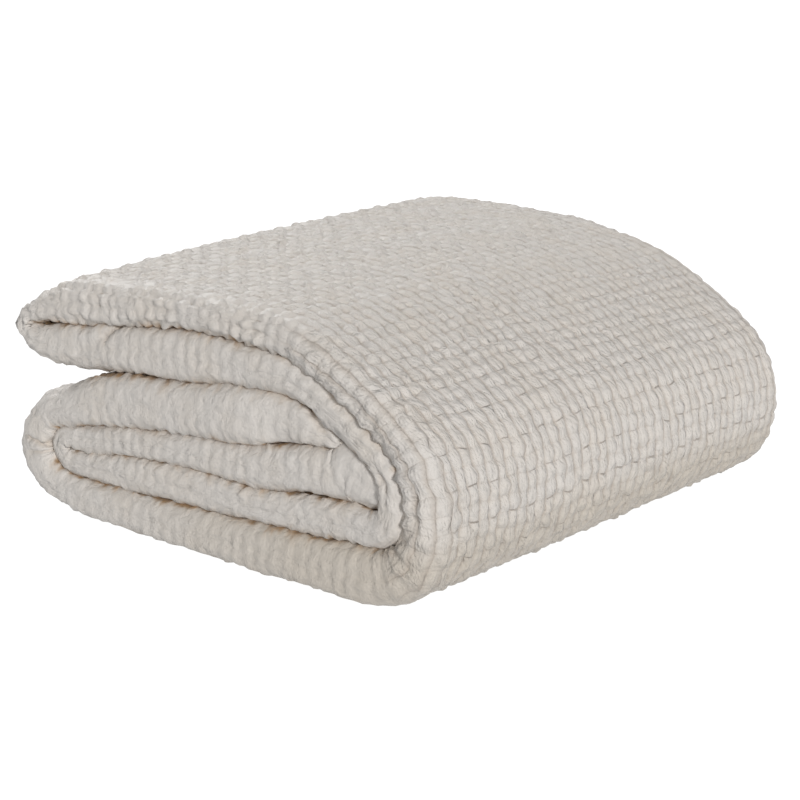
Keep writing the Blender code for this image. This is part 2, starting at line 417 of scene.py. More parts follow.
def band_section(u, band, is_open):
    """Where places u across the cloth lie in the band's cross-section, and which way is out."""
    pitch, near, near_reach, far, far_reach = side_places(band)
    inner_reach = 0.5 * pitch + NEAR_SOFTNESS
    share = {name: np.clip((u - BEGINS[name]) / ACROSS[name], 0.0, 1.0) for name in ACROSS}
    pressed = np.where(share["near_outer"] < 0.5, 1.0, 1.0 - is_open)
    pieces = {
        "lowest": straight(share["lowest"], DEPTH / 2 - LOWEST_HEM, near, -1.5 * pitch),
        "near_outer": near_turn(share["near_outer"], (near, 0.0),
                                (-near_reach, -1.5 * pitch), pressed),
        "outer": straight(share["outer"], near, far, 1.5 * pitch),
        "far": half_turn(share["far"], (far, pitch), (far_reach, 0.5 * pitch)),
        "upper": straight(share["upper"], far, near, 0.5 * pitch),
        "near_inner": half_turn(share["near_inner"], (near, 0.0), (-inner_reach, 0.5 * pitch)),
        "lower": straight(share["lower"], near, DEPTH / 2 - LOWER_HEM, -0.5 * pitch),
    }
    section = np.zeros((4, len(u)))
    for name, piece in pieces.items():
        here = (u >= BEGINS[name] - 1e-6) | (name == "lowest")
        for row, value in zip(section, piece):
            row[here] = np.broadcast_to(value, u.shape)[here]
    y, n, heading_y, heading_n = section
    y = y - np.minimum(u, 0.0) + np.maximum(u - WIDTH, 0.0)
    lower_corner = (u - BEGINS["near_outer"] - SWELL_PLACE) / SWELL_WIDTH
    upper_corner = (u - BEGINS["outer"] + SWELL_PLACE) / SWELL_WIDTH
    n = n + SWELL * ((1 - is_open) * np.exp(-upper_corner ** 2) - np.exp(-lower_corner ** 2))
    size = np.hypot(heading_y, heading_n)
    return y, n, -heading_n / size, heading_y / size


# %% Fold places of the flat cloth into the pile
def level_share(x, y):
    """How high the pile stands at x and y, as a share of the height in the tables."""
    depths = [level.depth for level in LEVELS]
    depth = np.clip(y / DEPTH + 0.5, 0.0, 1.0)
    columns = np.array([smooth_curve(depths, [level[column] for level in LEVELS], depth)
                        for column in range(1, len(UNEVEN_X) + 1)])
    marks = np.array(UNEVEN_X) * MM
    x = np.clip(x, marks[0], marks[-1])
    index = np.clip(np.searchsorted(marks, x, side="right") - 1, 0, len(marks) - 2)
    t = ease((x - marks[index]) / (marks[index + 1] - marks[index]))
    every = np.arange(len(x))
    return columns[index, every] * (1 - t) + columns[index + 1, every] * t


def fold(u, v, h):
    """Fold places u across the cloth, v along it and h out of its middle into the pile."""
    x, z, band, set_back, heading = (np.interp(v, PATH["along"], PATH[column])
                                     for column in ("x", "z", "band", "set_back", "heading"))
    past_end = v - np.clip(v, 0.0, LENGTH)
    x = x + past_end * np.cos(heading)
    z = z + past_end * np.sin(heading)
    y, n, out_y, out_n = band_section(u, band, open_share(v))
    y = y + h * out_y
    n = n + h * out_n
    x = x + n * np.sin(heading)
    z = (z - n * np.cos(heading)) * level_share(x, y)
    depth = np.clip(y / DEPTH + 0.5, 0.0, 1.0)
    share = np.clip(x / (2 * MIDDLE_X), 0.0, 1.0)
    y = y + (set_back - NEAR_BULGE * np.sin(math.pi * share)) * (1 - depth) ** 2
    x = x - FAR_PULL * share ** 2 * depth ** 2
    z = np.where(z < FLAT_REACH, 0.0, z)
    return np.array((x - MIDDLE_X, y - MIDDLE_Y, z))


# %% [markdown]
# ## Numbers and sockets in one formula
# The weave is wanted twice: as real height in the mesh, and as colour and fine bump in the
# material. Two copies of a formula would drift apart. So a small class wraps a shader socket and
# overloads the operators. The same Python function then works on arrays for the mesh, and on
# sockets for the material, where each operator adds its Math node.

# %% A socket that can be reckoned with
class Wire:
    """A node's output socket that adds Math nodes when it is reckoned with."""

    def __init__(self, tree, socket):
        self.tree = tree
        self.socket = socket

    def math(self, operation, *values):
        node = self.tree.nodes.new("ShaderNodeMath")
        node.operation = operation
        for place, value in zip(node.inputs, values):
            if isinstance(value, Wire):
                self.tree.links.new(value.socket, place)
            else:
                place.default_value = float(value)
        return Wire(self.tree, node.outputs[0])

    def __add__(self, other):
        return self.math("ADD", self, other)

    def __radd__(self, other):
        return self.math("ADD", other, self)

    def __sub__(self, other):
        return self.math("SUBTRACT", self, other)

    def __rsub__(self, other):
        return self.math("SUBTRACT", other, self)

    def __mul__(self, other):
        return self.math("MULTIPLY", self, other)

    def __rmul__(self, other):
        return self.math("MULTIPLY", other, self)

    def __truediv__(self, other):
        return self.math("DIVIDE", self, other)

    def __pow__(self, other):
        return self.math("POWER", self, other)

    def __abs__(self):
        return self.math("ABSOLUTE", self)


# %% Functions for both kinds
def either(value, operation, function, *more):
    """A Math node on a socket, or numpy's function on an array."""
    if isinstance(value, Wire):
        return value.math(operation, value, *more)
    return function(value, *more)


def sine(value):
    return either(value, "SINE", np.sin)


def floor(value):
    return either(value, "FLOOR", np.floor)


def least(value, other):
    return either(value, "MINIMUM", np.minimum, other)


def most(value, other):
    return either(value, "MAXIMUM", np.maximum, other)


def step_between(value, low, high):
    """0 below low, 1 above high, and a soft step between them, for arrays and sockets."""
    return ease(least(most((value - low) / (high - low), 0.0), 1.0))


# %% [markdown]
# ## The weave
# The cloth is a padded basket weave. Columns of soft floating yarns run along it like ropes. On
# each rope a high puff and a low puff take turns, and on the next rope they lie the other way
# round, so each high puff bulges into the waists beside it. Above the high puffs of every second
# rope the crossing yarns dip and leave a short slit; the dip is in the bump, and its dark shade is
# painted into the colour.

# %% Sizes of the weave
COLUMNS = 40
COLUMN = ACROSS["outer"] / COLUMNS
BRICKS = 109
BRICK = LENGTH / BRICKS
NEAR_COLUMNS = 4
ROPE_ROUND = 1.02
print("a pair of puffs measures %.1f by %.1f mm" % (COLUMN / MM, BRICK / MM))


# %% Where a place lies in its pair of puffs
def brick_place(across, along):
    """The place across, -1 to 1, and along, 0 to 1, in a pair of puffs, its column and its row."""
    c = across / COLUMN
    column = floor(c)
    odd = column - 2 * floor(column / 2)
    r = along / BRICK + 0.5 * odd
    row = floor(r)
    return 2 * (c - column) - 1, r - row, odd, column, row


def brick_puff(t, r):
    """How high the rope stands there: 0 in its seams, 1 on its high puffs."""
    sides = (ROPE_ROUND - t * t) ** 0.5
    wave = sine(2 * math.pi * r)
    return sides * (0.43 + 0.43 * abs(wave) ** 0.6 - 0.14 * wave)


def rib_puff(along, lean):
    """The ribs that the puffs join into where the cloth turns over a tight edge."""
    return abs(sine(2 * math.pi * along / BRICK + lean)) ** 0.8


# %% [markdown]
# ## Where the mesh is fine
# A mesh fine enough for the weave everywhere would be millions of triangles, most of them
# between the sheets where nothing is seen. So the flat cloth is cut in large cells, and only the
# cells that show are divided: the near and far turns along the whole cloth, and the outer sheet
# on the top, the big bend, the left folds and the mouth of the wedge between them. A large cell
# beside a divided one takes the fine points on their common side as its own corners, so the
# surface stays closed without any overlap.

# %% The columns of large cells, around the cloth's section
FINE_COLUMNS = 5
FINE_ROWS = 8
Part = namedtuple("Part", "cells divide")
HEM_ANGLES = (45, 0, -45)
MARGIN = COLUMN

OUTER_FACE = {
    "lowest": Part(4, 1),
    "near_outer": Part(NEAR_COLUMNS, 4),
    "outer": Part(13, 3 * FINE_COLUMNS),
    "far": Part(2, 3),
    "upper": Part(4, 1),
    "near_inner": Part(4, 1),
    "lower": Part(4, 1),
}
INNER_FACE = {
    "lowest": 4,
    "near_outer": 8,
    "outer": 5,
    "far": 4,
    "upper": 4,
    "near_inner": 4,
    "lower": 4,
}
Column = namedtuple("Column", "u h divide always")


def outer_columns():
    """The outer face from hem to hem. The turns are always fine, with a margin beside them."""
    columns = []
    for name, part in OUTER_FACE.items():
        first = BEGINS[name]
        size = ACROSS[name]
        if name == "lowest":
            size -= MARGIN
        if name == "outer":
            columns.append(Column(first, CLOTH / 2, FINE_COLUMNS, True))
            first += MARGIN
            size -= MARGIN
        for cell in range(part.cells):
            u = first + size * cell / part.cells
            columns.append(Column(u, CLOTH / 2, part.divide, name in ("near_outer", "far")))
        if name == "lowest":
            columns.append(Column(first + size, CLOTH / 2, FINE_COLUMNS, True))
    return columns


def inner_columns():
    """The inner face, back from hem to hem."""
    columns = []
    for name, cells in reversed(INNER_FACE.items()):
        for cell in range(cells):
            u = BEGINS[name] + ACROSS[name] * (1 - cell / cells)
            columns.append(Column(u, -CLOTH / 2, 1, False))
    return columns


def hem_columns(u, side):
    """The rounded hem at one edge of the cloth."""
    columns = []
    for angle in HEM_ANGLES:
        turn = math.radians(angle)
        columns.append(Column(u + side * CLOTH / 2 * math.cos(turn),
                              side * CLOTH / 2 * math.sin(turn), 1, False))
    return columns


first_outer = outer_columns()
RING = (first_outer + [Column(WIDTH, CLOTH / 2, 1, False)] + hem_columns(WIDTH, 1)
        + inner_columns() + [Column(0.0, -CLOTH / 2, 1, False)] + hem_columns(0.0, -1))
print(len(RING), "large cells around the cloth's section")

# %% The rows of large cells, along the cloth
CELL_LENGTH = BRICK
CELL_TURN = math.radians(18)
END_ANGLES = (75, 50, 25)
FINE_ROW = BRICK / FINE_ROWS
Row = namedtuple("Row", "v squeeze divide")


def cell_rows():
    """Large rows of whole fine rows, closer together in the bends, and rounded ends."""
    length = np.diff(PATH["along"])
    turn = np.abs(np.diff(PATH["heading"]))
    need = np.concatenate(([0.0], np.cumsum(length / CELL_LENGTH + turn / CELL_TURN)))
    marks = np.interp(np.linspace(0.0, need[-1], int(need[-1]) + 2), need, PATH["along"])
    marks = np.unique(np.round(marks / FINE_ROW).astype(int))
    ends = [(CLOTH / 2 * math.sin(math.radians(a)), math.cos(math.radians(a))) for a in END_ANGLES]
    rows = [Row(-reach, squeeze, 1) for reach, squeeze in ends]
    rows += [Row(a * FINE_ROW, 1.0, b - a) for a, b in zip(marks[:-1], marks[1:])]
    rows.append(Row(LENGTH, 1.0, 1))
    rows += [Row(LENGTH + reach, squeeze, 1) for reach, squeeze in reversed(ends)]
    return rows


ROWS = cell_rows()
print(len(ROWS), "rows of large cells along the cloth")


# %% Points of the fine net under the cells
def spread(values, divide):
    """Each value, with evenly spaced ones up to the next, as many as it is divided in."""
    parts = [np.linspace(a, b, n, endpoint=False)
             for a, b, n in zip(values[:-1], values[1:], divide)]
    return np.concatenate(parts + [[values[-1]]])


ring_divide = [column.divide for column in RING]
NET_U = spread([column.u for column in RING] + [RING[0].u], ring_divide)[:-1]
NET_H = spread([column.h for column in RING] + [RING[0].h], ring_divide)[:-1]
row_divide = [row.divide for row in ROWS[:-1]]
NET_V = spread([row.v for row in ROWS], row_divide)
NET_SQUEEZE = spread([row.squeeze for row in ROWS], row_divide)
RING_AT = np.concatenate(([0], np.cumsum(ring_divide)))
ROW_AT = np.concatenate(([0], np.cumsum(row_divide)))
print("the fine net has %d by %d places" % (len(NET_U), len(NET_V)))


# %% Join the cells into one closed surface
def is_fine(column, row):
    """Whether a large cell is divided: where it shows."""
    if RING[column].divide == 1:
        return False
    middle = (ROWS[row].v + ROWS[row + 1].v) / 2
    return RING[column].always or any(first < middle < last for first, last in OPEN_SIDES)


def side_points(index, ring_range, row_range):
    """The points that exist along one side of a large cell, without its last one."""
    found = [index[column % len(NET_U), row] for column in ring_range for row in row_range]
    return [point for point in found[:-1] if point >= 0]


def stitch(first, second, place):
    """Triangles between two rows of points that share their first and their last point."""
    faces = []
    a = 0
    b = 0
    while a < len(first) - 1 or b < len(second) - 1:
        go_first = b == len(second) - 1 or (
            a < len(first) - 1 and place[first[a + 1]] <= place[second[b + 1]])
        corner = first[a + 1] if go_first else second[b + 1]
        face = (first[a], second[b], corner)
        a += go_first
        b += not go_first
        if len(set(face)) == 3:
            faces.append(face)
    return faces


def join_cells():
    """The faces of the closed cloth, and the net places of its points."""
    cells = [(c, r) for c in range(len(RING)) for r in range(len(ROWS) - 1)]
    fine = {cell for cell in cells if is_fine(*cell)}
    used = np.zeros((len(NET_U), len(NET_V)), bool)
    used[np.ix_(RING_AT[:-1], ROW_AT)] = True
    for c, r in fine:
        ring = np.arange(RING_AT[c], RING_AT[c + 1] + 1) % len(NET_U)
        used[np.ix_(ring, np.arange(ROW_AT[r], ROW_AT[r + 1] + 1))] = True
    index = np.full(used.shape, -1)
    index[used] = np.arange(used.sum())
    faces = []
    for c, r in cells:
        left, right = RING_AT[c], RING_AT[c + 1]
        low, high = ROW_AT[r], ROW_AT[r + 1]
        if (c, r) in fine:
            for i in range(left, right):
                j = (i + 1) % len(NET_U)
                faces += [(index[i, k], index[j, k], index[j, k + 1], index[i, k + 1])
                          for k in range(low, high)]
        else:
            faces.append(side_points(index, range(left, right + 1), [low])
                         + side_points(index, [right], range(low, high + 1))
                         + side_points(index, range(right, left - 1, -1), [high])
                         + side_points(index, [left], range(high, low - 1, -1)))
    return index, used, faces


INDEX, USED, FACES = join_cells()
print("the cloth has %d points and %d faces" % (USED.sum(), len(FACES)))


# %% Close the two ends
def close_ends():
    """The narrow faces between the outer and the inner face at both ends of the cloth."""
    hem_middle = RING_AT[len(first_outer) + 2]
    first_hem = RING_AT[len(RING) - 2]
    around = np.arange(len(NET_U))
    outer = np.concatenate(([first_hem], around[first_hem + 1:], around[:hem_middle + 1]))
    inner = around[hem_middle:first_hem + 1][::-1]
    place = {}
    faces = []
    for row in (0, len(NET_V) - 1):
        lists = []
        for side in (outer, inner):
            points = [(INDEX[i, row], NET_U[i]) for i in side if INDEX[i, row] >= 0]
            place.update(points)
            lists.append([point for point, _ in points])
        faces += stitch(*lists, place)
    return faces


FACES += close_ends()

# %% The flat places of all points
rings, rows = np.nonzero(USED)
U = NET_U[rings]
V = NET_V[rows]
H = NET_H[rings] * NET_SQUEEZE[rows]
OUTSIDE = (NET_H[rings] > CLOTH / 2 - 1e-6) & (rings < RING_AT[len(first_outer)] + 1)

# %% [markdown]
# ## Relief
# Real cloth is never even: its rows drift, its puffs differ, and its edges crinkle where they
# turn. A few long sine waves with seeded directions make that drift, the same on every run. The
# relief mostly cuts into the cloth, and where it rises it rises a few millimetres, so
# neighbouring runs press into each other very little.

# %% Slow drift of the weave
# A near turn's outer side is longer than its flat cloth, so the fields are finer across it
SEED = 11
chance = np.random.default_rng(SEED)
TURN_SPREAD = 1.6
even_across = U - BEGINS["outer"]
even_across = np.where(even_across < 0, TURN_SPREAD * even_across, even_across)


def drift(size, waves=6):
    """A smooth field around 0, about -1 to 1, that changes over the given size."""
    total = np.zeros_like(U)
    for _ in range(waves):
        way = chance.uniform(0, 2 * math.pi)
        pace = 2 * math.pi / (size * chance.uniform(0.7, 1.6))
        total += np.sin((even_across * math.cos(way) + V * math.sin(way)) * pace
                        + chance.uniform(0, 2 * math.pi))
    return total / math.sqrt(waves)


# %% Where the net of the weave lies on the flat cloth
# The net keeps whole puffs, so the mesh has points along every seam. The cloth under it is
# stretched a little: wider near the near edge, wavy along the ropes, and uneven by chance
WIDER_NEAR = 0.055
WAIST = 0.13
WAIST_CHANCE = 0.4
from_near = U - BEGINS["outer"]
near_scale = NEAR_COLUMNS * COLUMN / ACROSS["near_outer"]
WEAVE_ACROSS = np.where(from_near < 0, from_near * near_scale, from_near)
in_outer = OUTSIDE & (U >= BEGINS["outer"]) & (U <= BEGINS["far"])
in_weave = OUTSIDE & (U > BEGINS["near_outer"] - MARGIN) & (U < BEGINS["upper"])
outer_share = np.clip(from_near / ACROSS["outer"], 0.0, 1.0)
widen = WIDER_NEAR * ACROSS["outer"] * outer_share * (1 - outer_share)
wave = (WAIST * COLUMN * np.cos(math.pi * WEAVE_ACROSS / COLUMN)
        * np.sin(2 * math.pi * V / BRICK) * (1 + WAIST_CHANCE * drift(35 * MM)))
CLOTH_U = (U + np.where(in_outer, widen - wave, 0.0)
           + 0.8 * MM * drift(90 * MM) + 0.5 * MM * drift(25 * MM))
CLOTH_V = V + 1.2 * MM * drift(110 * MM) + 0.9 * MM * drift(28 * MM)

# %% How much a place belongs to a tight near edge
# The big bend and the top run keep their puffs around the near edge. On the others they join
# into faint ribs under a soft crumple
NOSE_FADE = 14 * MM
NOSE_LEAD = 7 * MM


def past(name, low, high):
    """A soft step along the cloth, between two places in mm from the start of a stretch."""
    return step_between(V, STARTS[name] + low * MM, STARTS[name] + high * MM)


nose_in = step_between(U, BEGINS["near_outer"] - MARGIN, BEGINS["near_outer"] + 2 * MM)
nose_out = 1 - step_between(U, BEGINS["outer"] - NOSE_LEAD, BEGINS["outer"] + NOSE_FADE)
NOSE = nose_in * nose_out * OUTSIDE
puffed = past("big_bend", 60, 90) * (1 - past("top_fold", 8, 40))
on_bend = puffed * (1 - past("run_1", -70, -20))
RIBBED = NOSE * (1 - on_bend)
PLUMP = NOSE * (puffed - on_bend)

# %% Creases placed one by one
# In mm from the start of a stretch of the band, and from the start of the near turn. A crease is a
# soft trough, or a ridge where its depth is below 0. Its tint says how strongly warm shade is
# painted into the crease.
Crease = namedtuple("Crease", "stretch depth width tint path")
CREASES = (
    Crease("top_fold", -1.5, 9.0, 0.0, ((-12, 1), (20, 1), (55, 1), (80, 1))),
    Crease("run_2", 4.6, 2.6, 0.45, ((64, 0), (54, 8), (45, 13))),
    Crease("run_2", 2.8, 2.6, 0.06, ((45, 13), (30, 17), (12, 19))),
    Crease("run_2", -1.8, 4.0, 0.0, ((54, 0), (44, 6), (34, 9))),
    Crease("run_2", 3.4, 4.0, 0.80, ((66, -1), (58, 4))),
    Crease("run_2", 1.3, 2.4, 0.12, ((20, 24), (4, 27), (-10, 26))),
    Crease("low_fold", 3.6, 2.0, 0.55, ((56, 22), (53, 14), (46, 8), (41, -2))),
    Crease("low_fold", -1.8, 2.6, 0.0, ((61, 17), (59, 10), (56, 3))),
    Crease("low_fold", 2.6, 1.9, 0.35, ((68, 21), (66, 12), (65, 6), (62, -2))),
    Crease("first_end", 4.2, 3.0, 0.35, ((31, 39), (24, 31), (18, 27), (11, 25))),
    Crease("inner_bend", -2.4, 5.0, 0.0, ((25, 3), (60, 3), (110, 3), (150, 3))),
    Crease("inner_bend", 2.0, 1.8, 0.35, ((111, 22), (124, 19))),
    Crease("inner_bend", 1.6, 1.8, 0.25, ((111, 22), (121, 27))),
    Crease("big_bend", -2.4, 5.0, 0.0, ((110, 3), (150, 3), (200, 3), (250, 3))),
    Crease("big_bend", 3.0, 1.8, 0.25, ((146, 20), (137, 18))),
    Crease("big_bend", 1.8, 2.2, 0.15, ((131, 17), (118, 14), (104, 10))),
)


def near_path(path):
    """The distance in mm from every point of the cloth to a crease's path."""
    along = V / MM
    across = (U - BEGINS["near_outer"]) / MM
    nearest = np.full(len(U), np.inf)
    for (v1, u1), (v2, u2) in zip(path[:-1], path[1:]):
        way = np.array((v2 - v1, u2 - u1), float)
        share = ((along - v1) * way[0] + (across - u1) * way[1]) / (way @ way)
        share = np.clip(share, 0.0, 1.0)
        gap = np.hypot(along - v1 - share * way[0], across - u1 - share * way[1])
        nearest = np.minimum(nearest, gap)
    return nearest


CREASED = np.zeros_like(U)
CREASE_SHADE_TINT = np.zeros_like(U)
for crease in CREASES:
    start = STARTS[crease.stretch] / MM
    path = [(start + v, u) for v, u in crease.path]
    trough = np.exp(-(near_path(path) / crease.width) ** 2)
    CREASED += crease.depth * MM * trough
    CREASE_SHADE_TINT = np.maximum(CREASE_SHADE_TINT, crease.tint * trough)

# %% The painted shade lines between the runs
# Warm shade is painted where a near turn leaves its neighbour, but not where its outer side lies
# open. It ends a little way in, so the far side stays cream
SHADE_FADE = 16 * MM
SHADE_ENDS = (25 * MM, 60 * MM)
BEND_LESS_SHADE = 0.30
from_lower = (U - BEGINS["near_outer"]) / SHADE_FADE
from_upper = (BEGINS["outer"] - U) / SHADE_FADE
LINE_SHADE = np.maximum(1 - from_lower, (1 - from_upper) * (1 - open_share(V)))
LINE_SHADE = np.clip(LINE_SHADE, 0.0, 1.0) * OUTSIDE * (1 - BEND_LESS_SHADE * on_bend)
past_lower = BEGINS["near_outer"] - U
past_upper = U - BEGINS["outer"]
LINE_SHADE *= 1 - step_between(np.maximum(past_lower, past_upper), *SHADE_ENDS)

# %% The relief itself
SEAM_DEPTH = 3.1 * MM
RIB_DEPTH = 0.26 * MM
PLUMP_DEPTH = 0.65 * MM
CRUMPLE = 0.38 * MM
EDGE_LUMPS = 0.95 * MM
LOW_LUMPS = 0.7 * MM
PUFF_CHANCE = 0.28 * MM
PROUD = 0.7 * MM
FAR_CALM = 0.40
FAR_CALM_REACH = 50 * MM
NOSE_CALM = 0.88
PLUMP_LIVELY = 0.83
BEND_EDGE_REACH = 45 * MM
CHANCES = 4096
t, r, odd, column, _ = brick_place(WEAVE_ACROSS, V)
half_puffs = np.floor(2 * V / BRICK + odd)
pick = (column * 61 + half_puffs * 17).astype(int) % CHANCES
own_height = chance.normal(0.0, 1.0, CHANCES)[pick]
rib_lean = (1.8 * drift(34 * MM) + 1.1 * drift(13 * MM)) * (1 - 0.6 * PLUMP)
brick_depth = SEAM_DEPTH * (1 - brick_puff(t, r)) * (1 + 0.25 * drift(40 * MM))
rib_depth = ((RIB_DEPTH + PLUMP_DEPTH * PLUMP) * (1 - rib_puff(V, rib_lean))
             * (0.35 + 1.5 * np.clip(0.5 + 0.7 * drift(11 * MM), 0.0, 1.0)))
calm = 1 - FAR_CALM * step_between(U, BEGINS["far"] - FAR_CALM_REACH, BEGINS["far"])
own_rope = 1 - NOSE_CALM * NOSE + PLUMP_LIVELY * PLUMP
RELIEF = PROUD - brick_depth * own_rope * calm - rib_depth * RIBBED
RELIEF += CRUMPLE * (drift(9.5 * MM) + 0.9 * drift(14 * MM)) * (1 + 1.1 * NOSE)
RELIEF += PUFF_CHANCE * own_height * (1 - t * t) * np.abs(np.sin(2 * math.pi * r)) * (1 - RIBBED)
bend_edge = on_bend * nose_in * (1 - step_between(U, BEGINS["outer"],
                                                  BEGINS["outer"] + BEND_EDGE_REACH))
low_bend = past("big_bend", 60, 85) * (1 - past("big_bend", 115, 150))
RELIEF += EDGE_LUMPS * bend_edge * (0.6 * drift(13 * MM) + 0.7 * drift(20 * MM))
RELIEF += LOW_LUMPS * low_bend * (0.8 * drift(9 * MM) + 0.7 * drift(16 * MM))
RELIEF = np.where(in_weave, RELIEF - CREASED, 0.0)
print("the relief goes from %.2f to %.2f mm" % (RELIEF.min() / MM, RELIEF.max() / MM))

# %% Fold the points and make the mesh
height = H + RELIEF * np.sign(H) * (np.abs(H) > CLOTH / 4)
points = fold(CLOTH_U, CLOTH_V, height).T
mesh = bpy.data.meshes.new("bedspread")
mesh.from_pydata(points.tolist(), [], FACES)
mesh.validate()


def finish_mesh(mesh):
    """Divide the many-sided faces and turn every face outwards."""
    work = bmesh.new()
    work.from_mesh(mesh)
    many_sided = [face for face in work.faces if len(face.verts) > 4]
    bmesh.ops.triangulate(work, faces=many_sided, ngon_method="BEAUTY")
    bmesh.ops.recalc_face_normals(work, faces=work.faces[:])
    open_edges = sum(not edge.is_manifold for edge in work.edges)
    work.to_mesh(mesh)
    work.free()
    mesh.shade_smooth()
    triangles = sum(len(face.vertices) - 2 for face in mesh.polygons)
    print("the cloth has %d triangles and %d open edges" % (triangles, open_edges))


finish_mesh(mesh)


# %% Write the weave's places on the mesh
def write_field(mesh, name, *columns):
    """Store three numbers for each point, for the material to read."""
    field = mesh.attributes.new(name, "FLOAT_VECTOR", "POINT")
    field.data.foreach_set("vector", np.column_stack(columns).ravel())


write_field(mesh, "weave_place", WEAVE_ACROSS, V, np.zeros_like(U))
taut = past("big_bend", 40, 80) * (1 - past("big_bend", 170, 260))
LEAST_SLIT = 0.10
SLIT_OPEN = (LEAST_SLIT + (1 - LEAST_SLIT) * taut) * (1 - NOSE)
# A row of wider slits low on the big bend, dark with painted shade like the others
HOLE_ROW = STARTS["big_bend"] + 121 * MM
HOLE_REACH = 9 * MM
HOLES = np.exp(-((V - HOLE_ROW) / HOLE_REACH) ** 2)
# Painted warm shade on the lowest run and the low part of the big bend, near the floor
UNDER_BEND_SHADE = (step_between(V, STARTS["run_6"], STARTS["big_bend"] + 30 * MM)
              * (1 - past("big_bend", 98, 128)))
# Masks for the material: the ribs, and the painted shade of the lines between the runs, the
# creases, the slits and the low part of the pile
write_field(mesh, "rib_and_shade_marks", RIBBED, LINE_SHADE, CREASE_SHADE_TINT)
write_field(mesh, "slit_and_shade_marks", SLIT_OPEN, HOLES, UNDER_BEND_SHADE)

# %% The cloth as an object
cloth = bpy.data.objects.new("bedspread_cloth", mesh)
bpy.context.scene.collection.objects.link(cloth)
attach(cloth, "root")
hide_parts("woven_cloth")


# %% [markdown]
# ## The cotton
# The yarn is undyed cream cotton, matt but soft, so light spreads on its backs and turns warm
# where it is caught between the puffs. That warm shade is painted into the colour: in the seams
# and on one flank of each rope, in the slits, the creases, the lines between the runs and low on
# the lowest run and the big bend. A picture of cloth could be wrapped on, but it would smear over
# the folds. The material reads each point's place on the flat cloth instead, so the floating
# yarns, the seams and the slits follow every fold.

# %% Add nodes in one way
class Tree:
    """A material's node tree, with one way to add any node."""

    def __init__(self, material):
        material.use_nodes = True
        self.tree = material.node_tree
        self.shader = self.tree.nodes["Principled BSDF"]

    def node(self, kind, settings=None, output=0, **sockets):
        """Add a node, set it, then give its sockets their values or links."""
        node = self.tree.nodes.new(kind)
        for name, value in (settings or {}).items():
            setattr(node, name, value)
        for name, value in sockets.items():
            self.feed(node.inputs[name.replace("_", " ")], value)
        return Wire(self.tree, node.outputs[output])

    def feed(self, place, value):
        if isinstance(value, Wire):
            self.tree.links.new(value.socket, place)
        else:
            place.default_value = value

    def mix(self, first, second, factor):
        """A colour between two colours."""
        node = self.tree.nodes.new("ShaderNodeMix")
        node.data_type = "RGBA"
        self.feed(node.inputs[0], factor)
        self.feed(node.inputs[6], first)
        self.feed(node.inputs[7], second)
        return Wire(self.tree, node.outputs[2])

    def parts(self, vector):
        """The three numbers of a vector."""
        node = self.tree.nodes.new("ShaderNodeSeparateXYZ")
        self.feed(node.inputs[0], vector)
        return [Wire(self.tree, output) for output in node.outputs]


# %% Colours
CREAM = (0.65, 0.612, 0.572, 1)
CREAM_WARM = (0.65, 0.60, 0.545, 1)
CREAM_SHADE = (0.56, 0.535, 0.505, 1)
SEAM_SHADE_TAN = (0.40, 0.335, 0.275, 1)
LOW_SHADE_TAN = (0.52, 0.46, 0.38, 1)
LINE_SHADE_TAN = (0.52, 0.41, 0.30, 1)
LINE_SHADE_BROWN = (0.34, 0.21, 0.105, 1)
SLIT_SHADE_BROWN = (0.22, 0.165, 0.12, 1)
ROUGHNESS = 0.62
SHEEN = 0.1
SHEEN_ROUGHNESS = 0.5

# %% Heights of the fine bump
STRANDS_HIGH = 0.11 * MM
FUZZ_HIGH = 0.16 * MM
CRINKLE_HIGH = 2.8 * MM
RIBBED_CRINKLE_LESS = 1.3 * MM
SLIT_DEEP = 0.7 * MM
PUFF_HIGH = 1.5 * MM
STRANDS_A_COLUMN = 5
STRANDS_A_BRICK = 9


